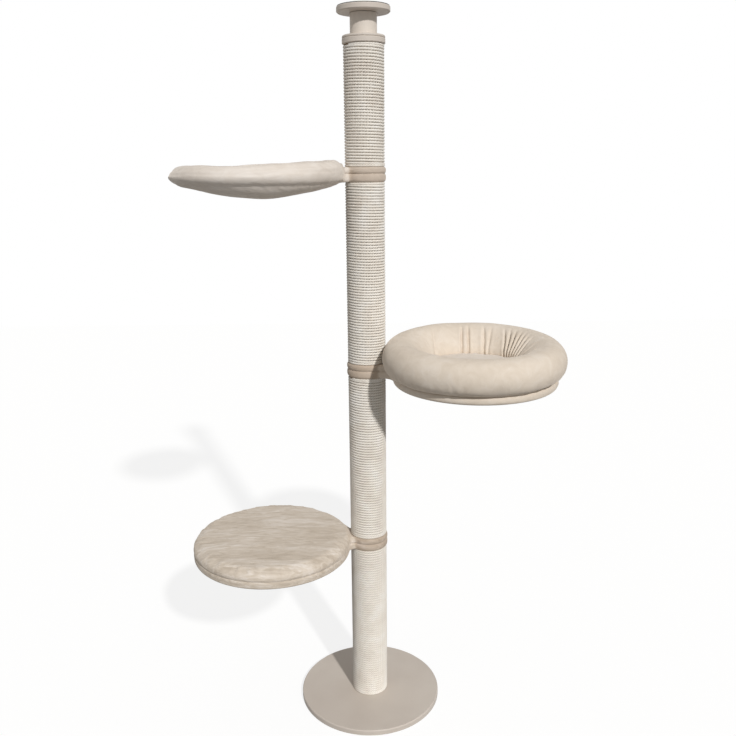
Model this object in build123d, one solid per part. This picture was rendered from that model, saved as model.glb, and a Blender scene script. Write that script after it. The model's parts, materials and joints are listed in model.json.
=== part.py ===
import os
from math import sqrt

from build123d import *

# Floor-to-ceiling cat tree, standing on z = 0 with the post's centreline on the Z axis
# Sizes are in millimetres and angles in degrees

# Base and post
base_radius = 250
base_thickness = 19
base_edge_radius = 4
base_bevel = 1
tube_radius = 55
tube_wall = 5
rope_thickness = 8
rope_radius = tube_radius + rope_thickness
plug_thickness = 18
long_post_lengths = (575.7, 572.9, 582.5)
top_post_length = 359.2

# Discs that the platforms carry between two post lengths
eye_radius = 66
eye_height = 46
seam_height = 25.8
cover_skin = 3
eye_core_radius = 61
board_thickness = 18
ridge_radius = 6
seam_bevel = 2.5
neck_root = 14

# Threaded fasteners
stud_radius = 6
stud_grip = 24
running_clearance = 0.05
nut_barrel_radius = 8
nut_barrel_length = 14
nut_flange_radius = 15
nut_flange_thickness = 2
bolt_head_flats = 19
bolt_head_height = 7.5
washer_radius = 14
washer_thickness = 1.5
counterbore_depth = 10

# Lower platform
platform_azimuth = -172.2
platform_reach = 338.5
platform_radius = 266
platform_height = 65
platform_board_radius = 252

# Middle bed
bed_azimuth = -16
bed_reach = 366
bed_strip_radius = 262
bed_board_radius = 255
bolster_radius = 301
bolster_inner_radius = 154
bolster_crown_radius = 229
bolster_waist = 82
bolster_top = 143.4
bolster_wall_bow = 20
cushion_top = 56
fold_bearings = (151, 116, 107, 84, 58, 51, 44, 36, 22)
fold_radius = 6
fold_depth = 4

# Upper hammock
hammock_azimuth = -168
hammock_reach = 340
hammock_radius = 271
hammock_rim_top = 58
hammock_rim_crest_radius = 237
hammock_sag = 42
hoop_radius = 254
hoop_width = 30
hoop_rise = 11

# Ceiling tensioner
collar_ring_height = 16.5
collar_cap_height = 8.2
neck_radius = 41
neck_showing = 63
neck_inside = 86
spindle_radius = 10
spindle_length = 200
spindle_in_neck = 50
nut_block_thickness = 30
nut_block_top = 2140
thrust_washer_radius = 24
thrust_washer_thickness = 3
thrust_gap = 1
plate_radius = 81.5
plate_thickness = 17
pad_radius = 79
pad_thickness = 2
pivot_radius = 6
pivot_in_neck = 22
pivot_in_plate = 9

# Levels worked out from the stack of post lengths and discs
lower_eye_level = base_thickness + long_post_lengths[0]
middle_eye_level = lower_eye_level + eye_height + long_post_lengths[1]
upper_eye_level = middle_eye_level + eye_height + long_post_lengths[2]
top_post_level = upper_eye_level + eye_height
collar_level = top_post_level + top_post_length
collar_top = collar_level + collar_ring_height + collar_cap_height
plate_level = collar_top + neck_showing + thrust_gap

os.makedirs("parts", exist_ok=True)


def write(name, *solids):
    """Write one sub-part, or a group of alike ones, under its name."""
    shape = solids[0] if len(solids) == 1 else Compound(children=list(solids))
    export_step(shape, f"parts/{name}.step")


def disc(radius, low, high, bore=0.0):
    """A disc or ring about the Z axis between two levels."""
    align = (Align.CENTER, Align.CENTER, Align.MIN)
    body = Pos(0, 0, low) * Cylinder(radius, high - low, align=align)
    if bore:
        body -= Pos(0, 0, low) * Cylinder(bore, high - low, align=align)
    return body


def edges_at(body, level):
    """The edges of a body that lie flat at one level."""
    return body.edges().filter_by_position(Axis.Z, level - 0.01, level + 0.01)


def rounded_disc(radius, low, high, low_bevel, high_round):
    """A disc with a bevelled lower rim and a rounded upper rim."""
    body = disc(radius, low, high)
    if low_bevel:
        body = chamfer(edges_at(body, low), low_bevel)
    return fillet(edges_at(body, high), high_round)


def dome(radius, rise):
    """Bulge of an arc that climbs the rise over the radius and meets the axis squarely."""
    sphere = (radius**2 + rise**2) / (2 * rise)
    return sphere - sqrt(sphere**2 - (radius**2 + rise**2) / 4)


def revolved(corners, reach=0.0):
    """A body turned from its half section, about an upright axis at the reach.

    Each corner is (radius, height, bulge), where the bulge is how far the side
    that leaves the corner bows from a straight line.
    """
    sides = []
    for start, end in zip(corners, corners[1:] + corners[:1]):
        if start[2]:
            sides.append(SagittaArc(start[:2], end[:2], start[2]))
        else:
            sides.append(Line(start[:2], end[:2]))
    section = make_face(Plane.XZ * Curve(sides))
    return Pos(reach, 0, 0) * revolve(section, Axis.Z)


def neck_outline(reach, disc_edge, eye_edge, fillet_radius):
    """Plan of the eye and of the neck that flares from it into a disc."""
    from_eye = eye_edge + fillet_radius
    from_disc = disc_edge + fillet_radius
    x = (from_eye**2 - from_disc**2 + reach**2) / (2 * reach)
    centre = Vector(x, sqrt(from_eye**2 - x**2))
    hub = Vector(reach, 0)
    on_eye = centre * (eye_edge / from_eye)
    on_disc = hub + (centre - hub) * (disc_edge / from_disc)
    inward = ((on_eye - centre) + (on_disc - centre)).normalized()
    flare_middle = centre + inward * fillet_radius
    root_high = Vector(on_disc.X + neck_root, on_disc.Y)
    down = Plane.XZ
    flare = ThreePointArc(on_eye, flare_middle, on_disc)
    root = Polyline(on_disc, root_high, root_high.rotate(Axis.X, 180), on_disc.rotate(Axis.X, 180))
    back = ThreePointArc(on_eye, Vector(-eye_edge, 0), on_eye.rotate(Axis.X, 180))
    return make_face(Curve([flare, root, flare.mirror(down), back]))


def slab(outline, low, high):
    """An outline raised between two levels."""
    return extrude(Pos(0, 0, low) * outline, high - low)


def covered_neck(reach, disc_edge, flare):
    """The outside of a covered eye and neck: two rounded ridges with the seam between."""
    outline = neck_outline(reach, disc_edge, eye_radius, flare)
    ridges = []
    for open_side in (0, eye_height):
        ridge = slab(outline, min(open_side, seam_height), max(open_side, seam_height))
        ridge = fillet(edges_at(ridge, open_side), ridge_radius)
        ridges.append(chamfer(edges_at(ridge, seam_height), seam_bevel, 1.4 * seam_bevel))
    return ridges[0] + ridges[1]


def neck_core(reach, disc_edge, flare):
    """The space inside a covered eye and neck, for the board and the block."""
    inset = eye_radius - eye_core_radius
    outline = neck_outline(reach, disc_edge - inset, eye_core_radius, flare + inset)
    return slab(outline, cover_skin, eye_height - cover_skin)


def board(reach, radius, disc_edge, flare, low):
    """A plywood disc with its neck and eye in one piece, bored for the stud."""
    inset = eye_radius - eye_core_radius
    outline = neck_outline(reach, disc_edge - inset, eye_core_radius, flare + inset)
    high = low + board_thickness
    return slab(outline, low, high) + Pos(reach, 0, 0) * disc(radius, low, high)


def below(level):
    """The space under a level, as a block larger than any platform."""
    size = 1500
    return Pos(0, 0, level - size / 2) * Box(size, size, size)


def place(solid, azimuth, level):
    """Swing a platform's piece round the post and lift it to its eye's level."""
    return Pos(0, 0, level) * Rot(0, 0, azimuth) * solid


def stud_hole():
    """The running hole for the stud through an eye."""
    return disc(stud_radius + running_clearance, 0, eye_height)


def write_platform():
    """Lower platform: a plywood board under foam, in a two-panel plush cover."""
    flare = 12
    rim = platform_radius
    strip = platform_radius - 2
    groove = strip - seam_bevel
    outside = revolved(
        [
            (0, 0, 0),
            (strip - 9, 0, -3.7),
            (strip, 9, 0),
            (strip, seam_height - 3, -1),
            (groove, seam_height, -1.5),
            (rim, seam_height + 9, -7),
            (rim - 26, platform_height - 5, -dome(rim - 26, 5)),
            (0, platform_height, 0),
        ],
        platform_reach,
    )
    outside += covered_neck(platform_reach, platform_radius - 2, flare)
    inside = revolved(
        [
            (0, cover_skin, 0),
            (platform_board_radius, cover_skin, 0),
            (platform_board_radius, seam_height, 0),
            (rim - 8, seam_height + 10, -5.5),
            (rim - 28, platform_height - 8.5, -dome(rim - 28, 5.5)),
            (0, platform_height - cover_skin, 0),
        ],
        platform_reach,
    )
    core = neck_core(platform_reach, platform_radius - 2, flare)
    inside += core
    skin = outside - inside - stud_hole()
    top_board = cover_skin + board_thickness
    plank = board(platform_reach, platform_board_radius, platform_radius - 2, flare, cover_skin)
    block = core - below(top_board) - Pos(platform_reach, 0, 0) * disc(platform_board_radius, 0, eye_height)
    foam = inside - below(top_board) - block
    pieces = {
        "platform_cover_top": skin - below(seam_height),
        "platform_cover_base": skin & below(seam_height),
        "platform_board": plank - stud_hole(),
        "platform_eye_block": block - stud_hole(),
        "platform_foam": foam,
    }
    for name, piece in pieces.items():
        write(name, place(piece, platform_azimuth, lower_eye_level))


def inner_fold():
    """The groove of one fold in the bolster's inner wall, at bearing 0.

    It follows the wall, is deepest low down and runs out at the crown.
    """
    run = bolster_crown_radius - bolster_inner_radius
    rise = bolster_top - bolster_waist
    chord = sqrt(run**2 + rise**2)
    wall_arc = (chord**2 / 4 + bolster_wall_bow**2) / (2 * bolster_wall_bow)
    middle = Vector((bolster_crown_radius + bolster_inner_radius) / 2, (bolster_top + bolster_waist) / 2)
    arc_centre = middle + Vector(rise, -run) * ((wall_arc - bolster_wall_bow) / chord)
    deepest = Vector(-sqrt(3) / 2, 0.5)
    centre = arc_centre - deepest * (2 * fold_depth)
    ring = Rot(90, 0, 0) * Torus(wall_arc + fold_depth + fold_radius, fold_radius)
    inner_half = Pos(bolster_crown_radius - bed_reach, 0, 0) * Box(2 * bed_reach, bed_reach, bed_reach)
    return Pos(centre.X, 0, centre.Y) * ring & inner_half


def write_bed():
    """Middle bed: a board, its covered strip, a stuffed bolster and a cushion."""
    flare = 42
    strip = bed_strip_radius
    groove = strip - seam_bevel
    outside = revolved(
        [
            (0, 0, 0),
            (strip - 10, 0, -4.1),
            (strip, 10, 0),
            (strip, seam_height - 3, -1),
            (groove, seam_height, 0),
            (0, seam_height, 0),
        ],
        bed_reach,
    )
    outside += covered_neck(bed_reach, strip, flare)
    core = neck_core(bed_reach, strip, flare)
    plank = board(bed_reach, bed_board_radius, strip, flare, cover_skin)
    skin = outside - core - plank - stud_hole()
    top_board = cover_skin + board_thickness
    block = core - below(top_board)
    floor_cover = skin - below(top_board)
    bolster = revolved(
        [
            (188, seam_height, 0),
            (groove - 4, seam_height, -12),
            (bolster_radius, 80, -21),
            (bolster_crown_radius, bolster_top, -bolster_wall_bow),
            (bolster_inner_radius, bolster_waist, -9),
        ],
        bed_reach,
    )
    for bearing in fold_bearings:
        bolster -= Pos(bed_reach, 0, 0) * Rot(0, 0, bearing) * inner_fold()
    bolster -= outside + block
    cushion = revolved(
        [
            (0, seam_height, 0),
            (180, seam_height, -1.5),
            (174, 38, -4),
            (150, cushion_top - 6, -dome(150, 6)),
            (0, cushion_top, 0),
        ],
        bed_reach,
    )
    pieces = {
        "bed_cover_top": floor_cover,
        "bed_cover_base": skin & below(top_board),
        "bed_board": plank - stud_hole(),
        "bed_eye_block": block - stud_hole(),
        "bed_bolster": bolster,
        "bed_cushion": cushion - bolster,
    }
    for name, piece in pieces.items():
        write(name, place(piece, bed_azimuth, middle_eye_level))


def write_hammock():
    """Upper hammock: a plywood hoop in a foam roll, with a plush sling hung in it."""
    flare = 12
    rim = hammock_radius
    crest = hammock_rim_crest_radius
    outside = revolved(
        [
            (0, -hammock_sag, -dome(rim - 15, hammock_sag + 4)),
            (rim - 15, 4, -3.5),
            (rim, seam_height, -4),
            (rim - 12, 46, -2.5),
            (crest, hammock_rim_top, -6),
            (crest - 30, 40, 4),
            (crest - 50, -6, dome(crest - 50, hammock_sag - 18)),
            (0, 12 - hammock_sag, 0),
        ],
        hammock_reach,
    )
    outside += covered_neck(hammock_reach, rim - 8, flare)
    inside = revolved(
        [
            (crest - 31, -8, -0.8),
            (rim - 18, 8.5, -3),
            (rim - 5.5, seam_height, -3),
            (rim - 16, 42.5, -2),
            (crest, hammock_rim_top - 4.5, -5),
            (crest - 25, 38, 0),
        ],
        hammock_reach,
    )
    core = neck_core(hammock_reach, rim - 8, flare)
    inside += core
    skin = outside - inside - stud_hole()
    under_seam = revolved(
        [
            (0, 5 - hammock_sag, -dome(crest - 31, hammock_sag - 13)),
            (crest - 31, -8, 0),
            (crest - 6, seam_height, 0),
            (rim + 9, seam_height, 0),
            (rim + 9, -60, 0),
            (0, -60, 0),
        ],
        hammock_reach,
    )
    under_seam += disc(eye_radius + 20, -60, seam_height)
    ring = Pos(hammock_reach, 0, 0) * disc(hoop_radius - hoop_width, hoop_rise, hoop_rise + board_thickness)
    hoop = board(hammock_reach, hoop_radius, rim - 8, flare, hoop_rise) - ring - stud_hole()
    blocks = core - hoop - Pos(hammock_reach, 0, 0) * disc(hoop_radius, 0, eye_height) - stud_hole()
    foam = inside - hoop - blocks - stud_hole()
    pieces = {
        "hammock_lining": skin - under_seam,
        "hammock_sling": skin & under_seam,
        "hammock_hoop": hoop,
        "hammock_eye_blocks": blocks,
        "hammock_rim_foam": foam,
    }
    for name, piece in pieces.items():
        write(name, place(piece, hammock_azimuth, upper_eye_level))


def write_post():
    """The base, the roped tubes, their plugs and the fasteners between them."""
    head_low = counterbore_depth - washer_thickness - bolt_head_height
    base = rounded_disc(base_radius, 0, base_thickness, base_bevel, base_edge_radius)
    base -= disc(stud_radius + 0.5, 0, base_thickness)
    base -= disc(washer_radius + 2, 0, counterbore_depth)
    write("base_plate", base)
    head = Pos(0, 0, head_low) * extrude(RegularPolygon(bolt_head_flats / 2, 6, major_radius=False), bolt_head_height)
    write("base_bolt", head + disc(stud_radius, head_low + 1, base_thickness + stud_grip))
    washer_low = counterbore_depth - washer_thickness
    write("base_washer", disc(washer_radius, washer_low, counterbore_depth, stud_radius + 0.5))

    starts = [base_thickness, lower_eye_level + eye_height, middle_eye_level + eye_height, top_post_level]
    lengths = list(long_post_lengths) + [top_post_length]
    inner = tube_radius - tube_wall
    nuts = []
    for name, start, length in zip(("lower", "middle", "upper", "top"), starts, lengths):
        end = start + length
        write(f"{name}_tube", disc(tube_radius, start, end, inner))
        write(f"{name}_rope", rope_sleeve(start, end))
        low_plug = disc(inner, start, start + plug_thickness, nut_barrel_radius)
        low_nut = tee_nut(start + plug_thickness, 1)
        if name == "top":
            write("top_tube_plug", low_plug)
            nuts += [low_nut]
        else:
            write(f"{name}_tube_plugs", low_plug, disc(inner, end - plug_thickness, end, nut_barrel_radius))
            nuts += [low_nut, tee_nut(end - plug_thickness, -1)]
    write("tee_nuts", *nuts)
    eyes = (lower_eye_level, middle_eye_level, upper_eye_level)
    write("joint_studs", *[disc(stud_radius, z - stud_grip, z + eye_height + stud_grip) for z in eyes])


def rope_sleeve(start, end):
    """The wound rope of one post length, as a sleeve with its end turns rounded off."""
    sleeve = disc(rope_radius, start, end)
    sleeve = chamfer(edges_at(sleeve, start) + edges_at(sleeve, end), rope_thickness / 4)
    return sleeve - disc(tube_radius, start, end)


def tee_nut(face, side):
    """A flanged nut whose flange lies on a plug's inner face, above it or below."""
    flange = sorted((face, face + side * nut_flange_thickness))
    barrel = sorted((face, face - side * nut_barrel_length))
    body = disc(nut_flange_radius, *flange) + disc(nut_barrel_radius, *barrel)
    return body - disc(stud_radius, min(barrel[0], flange[0]), max(barrel[1], flange[1]))


def write_tensioner():
    """The collar, the screw that lengthens the tree, and the ceiling plate."""
    bore = neck_radius + running_clearance
    cap_level = collar_level + collar_ring_height
    ring = rounded_disc(eye_radius, collar_level, cap_level, seam_bevel, seam_bevel)
    cap = rounded_disc(eye_radius - 0.5, cap_level, collar_top, 2, 4)
    write("collar_ring", ring - disc(bore, collar_level, cap_level))
    write("collar_cap", cap - disc(bore, cap_level, collar_top))

    block_low = nut_block_top - nut_block_thickness
    barrel = 14
    flange = 24
    inner = tube_radius - tube_wall
    write("nut_block", disc(inner, block_low, nut_block_top, barrel))
    nut = disc(barrel, block_low, nut_block_top - 2) + disc(flange, block_low - 5, block_low)
    write("spindle_nut", nut - disc(spindle_radius + running_clearance, block_low - 5, nut_block_top))

    neck_top = collar_top + neck_showing
    neck_low = collar_top - neck_inside
    spindle_top = neck_low + spindle_in_neck
    neck = rounded_disc(neck_radius, neck_low, neck_top, 2, 1)
    neck -= disc(spindle_radius, neck_low, spindle_top)
    neck -= disc(thrust_washer_radius + 0.5, neck_top - thrust_washer_thickness + thrust_gap, neck_top)
    neck -= disc(pivot_radius + running_clearance, neck_top - pivot_in_neck - 2, neck_top)
    write("neck", neck)
    write("neck_spindle", disc(spindle_radius, spindle_top - spindle_length, spindle_top))
    washer_bore = pivot_radius + running_clearance
    write("thrust_washer", disc(thrust_washer_radius, plate_level - thrust_washer_thickness, plate_level, washer_bore))

    plate_top = plate_level + plate_thickness
    plate = rounded_disc(plate_radius, plate_level, plate_top, 3, 3)
    pin_low = neck_top - pivot_in_neck
    pin_top = plate_level + pivot_in_plate
    write("ceiling_plate", plate - disc(pivot_radius, plate_level, pin_top))
    write("pivot_pin", disc(pivot_radius, pin_low, pin_top))
    write("ceiling_pad", disc(pad_radius, plate_top, plate_top + pad_thickness))


write_post()
write_platform()
write_bed()
write_hammock()
write_tensioner()
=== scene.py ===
import json
import math

import bmesh
import bpy
import numpy as np
from mathutils import Matrix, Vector
from mathutils.geometry import delaunay_2d_cdt


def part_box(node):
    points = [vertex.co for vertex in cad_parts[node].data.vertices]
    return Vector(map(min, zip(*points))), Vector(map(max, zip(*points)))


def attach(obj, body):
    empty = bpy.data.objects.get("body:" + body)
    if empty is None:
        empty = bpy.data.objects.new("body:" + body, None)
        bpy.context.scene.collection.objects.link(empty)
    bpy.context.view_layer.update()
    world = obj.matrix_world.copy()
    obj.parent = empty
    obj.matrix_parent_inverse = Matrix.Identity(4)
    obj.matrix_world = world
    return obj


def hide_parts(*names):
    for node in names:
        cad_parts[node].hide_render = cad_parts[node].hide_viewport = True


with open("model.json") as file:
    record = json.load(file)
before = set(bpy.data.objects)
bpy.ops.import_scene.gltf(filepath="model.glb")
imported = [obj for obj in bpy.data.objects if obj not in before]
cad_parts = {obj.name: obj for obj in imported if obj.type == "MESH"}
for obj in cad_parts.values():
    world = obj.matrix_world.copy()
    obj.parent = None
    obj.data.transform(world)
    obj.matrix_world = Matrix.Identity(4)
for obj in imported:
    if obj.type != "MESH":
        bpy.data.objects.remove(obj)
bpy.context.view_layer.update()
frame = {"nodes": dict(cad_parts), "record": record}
nodes = frame["nodes"]
print("frame loaded:", len(nodes), "nodes")

# the camera stands where the photograph was taken, a little over the hammock's rim
cameraSet = {"place": (0.00348, -2.5796, 1.902), "pitch": 14.472, "roll": -0.582, "lens": 38.99}
camera = bpy.data.objects.new("viewCamera", bpy.data.cameras.new("viewCamera"))
bpy.context.scene.collection.objects.link(camera)
camera.data.sensor_width = 36
camera.data.lens = cameraSet["lens"]
camera.location = cameraSet["place"]
look = Matrix.Rotation(math.radians(90 - cameraSet["pitch"]), 4, "X")
look = look @ Matrix.Rotation(math.radians(cameraSet["roll"]), 4, "Z")
camera.rotation_euler = look.to_euler()
bpy.context.scene.camera = camera


# shapes are worked out in millimetres, and turn into metres when a mesh is made


def smoothStep(value, start, end):
    share = np.clip((value - start) / (end - start), 0, 1)
    return share * share * (3 - 2 * share)


def latticeNoise(points, size, seed):
    # smooth noise from -1 to 1, whose lumps are about size across
    grid = np.asarray(points, float) / size
    cell = np.floor(grid).astype(np.int64)
    part = grid - cell
    part = part * part * (3 - 2 * part)
    total = np.zeros(len(grid))
    for corner in np.ndindex(2, 2, 2):
        at = cell + np.array(corner)
        # the corner's place and the seed are mixed into one number
        mixed = (at[:, 0] * 73856093) ^ (at[:, 1] * 19349663)
        mixed ^= (at[:, 2] * 83492791) ^ (seed * 26544357)
        mixed = ((mixed ^ (mixed >> 13)) * 1274126177) & 0x7FFFFFFF
        value = ((mixed ^ (mixed >> 15)) & 0xFFFF) / 32767.5 - 1
        weight = np.ones(len(grid))
        for axis in range(3):
            weight *= part[:, axis] if corner[axis] else 1 - part[:, axis]
        total += value * weight
    return total


def smoothLine(corners, count):
    # an even run of points on a smooth line through the corners
    corners = np.array(corners, float)
    steps = np.linalg.norm(np.diff(corners, axis=0), axis=1)
    knots = np.concatenate([[0], np.cumsum(steps)])
    slopes = np.gradient(corners, knots, axis=0)
    at = np.linspace(0, knots[-1], count)
    i = np.clip(np.searchsorted(knots, at, side="right") - 1, 0, len(knots) - 2)
    gap = (knots[i + 1] - knots[i])[:, None]
    u = (at - knots[i])[:, None] / gap
    start = corners[i] * (1 + 2 * u) * (1 - u) ** 2 + slopes[i] * gap * u * (1 - u) ** 2
    return start + corners[i + 1] * u * u * (3 - 2 * u) + slopes[i + 1] * gap * u * u * (u - 1)


def arcLine(start, end, bow, count):
    # points on an arc that bows to the right of its way, by bow at its middle
    start, end = np.array(start, float), np.array(end, float)
    chord = end - start
    length = np.hypot(*chord)
    across = np.array([chord[1], -chord[0]]) / length
    if abs(bow) < 1e-6:
        return start + np.linspace(0, 1, count)[:, None] * chord
    radius = (length**2 / 4 + bow**2) / (2 * bow)
    centre = (start + end) / 2 + across * (bow - radius)
    first, last = start - centre, end - centre
    turn = math.atan2(first[0] * last[1] - first[1] * last[0], first @ last)
    angles = np.linspace(0, turn, count)
    cos, sin = np.cos(angles)[:, None], np.sin(angles)[:, None]
    return centre + first * cos + np.array([-first[1], first[0]]) * sin


def domeHeight(radius, reach, rise):
    # height above the edge of a shallow dome with that reach and rise
    sphere = (reach**2 + rise**2) / (2 * rise)
    return np.sqrt(sphere**2 - np.clip(radius, 0, reach) ** 2) - (sphere - rise)


def racketOutline(reach, edge, eye, flare, spacing):
    # the plan of a disc with its neck and eye: its points, and the way in at each
    fromEye, fromDisc = eye + flare, edge + flare
    x = (fromEye**2 - fromDisc**2 + reach**2) / (2 * reach)
    y = math.sqrt(fromEye**2 - x**2)
    onDisc, onEye = math.atan2(y, x - reach), math.atan2(y, x)

    def run(centre, radius, start, end, way, step):
        count = max(4, int(abs(end - start) * radius / step))
        angles = np.linspace(start, end, count, endpoint=False)
        ray = np.stack([np.cos(angles), np.sin(angles)], 1)
        return np.array(centre) + radius * ray, way * ray

    runs = [
        run((reach, 0), edge, -onDisc, onDisc, -1, spacing),
        run((x, y), flare, onDisc - math.pi, onEye - math.pi, 1, spacing * 0.8),
        run((0, 0), eye, onEye, 2 * math.pi - onEye, -1, spacing * 0.8),
        run((x, -y), flare, math.pi - onEye, math.pi - onDisc, 1, spacing * 0.8),
    ]
    points = np.concatenate([r[0] for r in runs])
    inward = np.concatenate([r[1] for r in runs])
    return points, inward


def insidePlan(plan, points):
    # which points lie inside a closed plan
    found = np.zeros(len(points), bool)
    ends = np.roll(plan, -1, axis=0)
    for (x0, y0), (x1, y1) in zip(plan, ends):
        if y0 == y1:
            continue
        crosses = (y0 > points[:, 1]) != (y1 > points[:, 1])
        found ^= crosses & (points[:, 0] < (x1 - x0) * (points[:, 1] - y0) / (y1 - y0) + x0)
    return found


def fillPlan(plan, spacing):
    # even points inside a plan, and the triangles that join them and the plan
    low, high = plan.min(0), plan.max(0)
    rows = np.arange(low[1], high[1], spacing * 0.866)
    grid = []
    for k, y in enumerate(rows):
        x = np.arange(low[0] + (k % 2) * spacing / 2, high[0], spacing)
        grid.append(np.stack([x, np.full(len(x), y)], 1))
    grid = np.concatenate(grid)
    grid = grid[insidePlan(plan, grid)]
    near = np.full(len(grid), 1e9)
    for point in plan:
        near = np.minimum(near, np.abs(grid - point).max(1))
    grid = grid[near > spacing * 0.55]
    every = np.concatenate([plan, grid])
    size = len(plan)
    made = delaunay_2d_cdt(every.tolist(), [], [list(range(size))], 1, 1e-5)
    origin = [o[0] for o in made[3]]
    return grid, [tuple(origin[i] for i in f) for f in made[2]]


def coveredShape(rings, bottomHeight, topHeight, bottomSpacing, topSpacing):
    # a closed skin: rings of points up the side, filled below the first and above the last
    count = len(rings[0])
    points = [np.concatenate(rings)]
    faces = []
    around = np.arange(count)
    nextOne = np.roll(around, -1)
    for k in range(len(rings) - 1):
        a, b = k * count, (k + 1) * count
        faces += np.stack([a + around, a + nextOne, b + nextOne, b + around], 1).tolist()
    total = len(rings) * count
    for ring, height, spacing, start, flip in (
        (rings[0], bottomHeight, bottomSpacing, 0, True),
        (rings[-1], topHeight, topSpacing, (len(rings) - 1) * count, False),
    ):
        grid, triangles = fillPlan(ring[:, :2], spacing)
        points.append(np.column_stack([grid, height(grid)]))
        for face in triangles:
            placed = [start + i if i < count else total + i - count for i in face]
            faces.append(placed[::-1] if flip else placed)
        total += len(grid)
    return np.concatenate(points), faces


def makeMesh(name, points, faces):
    # a mesh in metres from points in millimetres, with its faces pointing outwards
    mesh = bpy.data.meshes.new(name)
    mesh.from_pydata((np.asarray(points) / 1000).tolist(), [], [list(f) for f in faces])
    work = bmesh.new()
    work.from_mesh(mesh)
    bmesh.ops.remove_doubles(work, verts=work.verts, dist=1e-6)
    bmesh.ops.recalc_face_normals(work, faces=work.faces)
    work.to_mesh(mesh)
    work.free()
    mesh.polygons.foreach_set("use_smooth", [True] * len(mesh.polygons))
    mesh.update()
    return mesh


def meshPoints(mesh):
    flat = np.zeros(len(mesh.vertices) * 3, np.float32)
    mesh.vertices.foreach_get("co", flat)
    return flat.reshape(-1, 3).astype(float) * 1000


def meshNormals(mesh):
    flat = np.zeros(len(mesh.vertices) * 3, np.float32)
    mesh.vertex_normals.foreach_get("vector", flat)
    return flat.reshape(-1, 3).astype(float)


def setPoints(mesh, points):
    mesh.vertices.foreach_set("co", (points / 1000).astype(np.float32).ravel())
    mesh.update()


# a little air under each skin, let run for a few frames
swellSet = {"frames": 12, "pressure": 4.0, "quality": 3, "stiffness": 12.0}


def swell(mesh, held, cap):
    # a cloth simulation fills the skin like a cushion
    # held points stay where they are, and none moves further than cap
    before = meshPoints(mesh)
    skin = bpy.data.objects.new(mesh.name + "Swell", mesh.copy())
    bpy.context.scene.collection.objects.link(skin)
    skin.vertex_groups.new(name="held").add(np.nonzero(held)[0].tolist(), 1.0, "REPLACE")
    cloth = skin.modifiers.new("swell", "CLOTH")
    cloth.settings.quality = swellSet["quality"]
    cloth.settings.vertex_group_mass = "held"
    cloth.settings.use_pressure = True
    cloth.settings.uniform_pressure_force = swellSet["pressure"]
    cloth.settings.tension_stiffness = swellSet["stiffness"]
    cloth.settings.compression_stiffness = swellSet["stiffness"]
    cloth.settings.effector_weights.gravity = 0
    cloth.collision_settings.use_collision = False
    cloth.point_cache.frame_start = 1
    cloth.point_cache.frame_end = swellSet["frames"]
    for step in range(1, swellSet["frames"] + 1):
        bpy.context.scene.frame_set(step)
    ready = skin.evaluated_get(bpy.context.evaluated_depsgraph_get())
    move = meshPoints(ready.data) - before
    size = np.linalg.norm(move, axis=1)
    setPoints(mesh, before + move * np.minimum(1, cap / np.maximum(size, 1e-9))[:, None])
    spare = skin.data
    bpy.data.objects.remove(skin)
    bpy.data.meshes.remove(spare)
    bpy.context.scene.frame_set(1)
    mean, most = round(float(size.mean()), 1), round(float(size.max()), 1)
    print(mesh.name, "swelled by", mean, "mm, at most", most, "before its cap of", cap)


def addPiece(name, mesh, body, azimuth=0.0, level=0.0):
    # a finished piece, turned round the post and lifted in its mesh, so its object stays at the origin
    turn = Matrix.Rotation(math.radians(azimuth), 4, "Z")
    move = Matrix.Translation((0, 0, level / 1000)) @ turn
    mesh.transform(move)
    piece = bpy.data.objects.new(name, mesh)
    bpy.context.scene.collection.objects.link(piece)
    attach(piece, body)
    return piece


def tone(code):
    # a colour written as six hex digits, as the shader wants it
    parts = [int(code[i : i + 2], 16) / 255 for i in (0, 2, 4)]
    return [p / 12.92 if p <= 0.04045 else ((p + 0.055) / 1.055) ** 2.4 for p in parts] + [1.0]


def addNode(tree, kind, inputs=None, **settings):
    node = tree.nodes.new(kind)
    for key, value in settings.items():
        setattr(node, key, value)
    for key, value in (inputs or {}).items():
        if isinstance(value, bpy.types.NodeSocket):
            tree.links.new(value, node.inputs[key])
        else:
            node.inputs[key].default_value = value
    return node


def newMaterial(name, fixed):
    material = bpy.data.materials.new(name)
    material.use_nodes = True
    tree = material.node_tree
    tree.nodes.clear()
    shader = addNode(tree, "ShaderNodeBsdfPrincipled", fixed)
    addNode(tree, "ShaderNodeOutputMaterial", {"Surface": shader.outputs["BSDF"]})
    return material, tree, shader


def noiseNode(tree, vector, scale, detail=2.0, roughness=0.5, distortion=0.0):
    found = addNode(
        tree,
        "ShaderNodeTexNoise",
        {"Vector": vector, "Scale": scale, "Detail": detail, "Roughness": roughness, "Distortion": distortion},
    )
    return found.outputs["Fac"]


def mathNode(tree, operation, first, second=0.0):
    return addNode(tree, "ShaderNodeMath", {0: first, 1: second}, operation=operation).outputs[0]


def rampNode(tree, factor, stops):
    ramp = addNode(tree, "ShaderNodeValToRGB", {"Fac": factor})
    while len(ramp.color_ramp.elements) < len(stops):
        ramp.color_ramp.elements.new(0.5)
    for element, (place, colour) in zip(ramp.color_ramp.elements, stops):
        element.position = place
        element.color = tone(colour)
    return ramp.outputs["Color"]


def rangeNode(tree, factor, low, high):
    # a number that runs from low to high as the factor runs from 0 to 1
    return addNode(tree, "ShaderNodeMapRange", {"Value": factor, "To Min": low, "To Max": high}).outputs["Result"]


def mixNode(tree, factor, first, second, blend="MIX"):
    # the colours' sockets of a Mix node are its inputs 6 and 7 and its output 2
    mixed = addNode(
        tree, "ShaderNodeMix", {"Factor": factor, 6: first, 7: second}, data_type="RGBA", blend_type=blend
    )
    return mixed.outputs[2]


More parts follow.
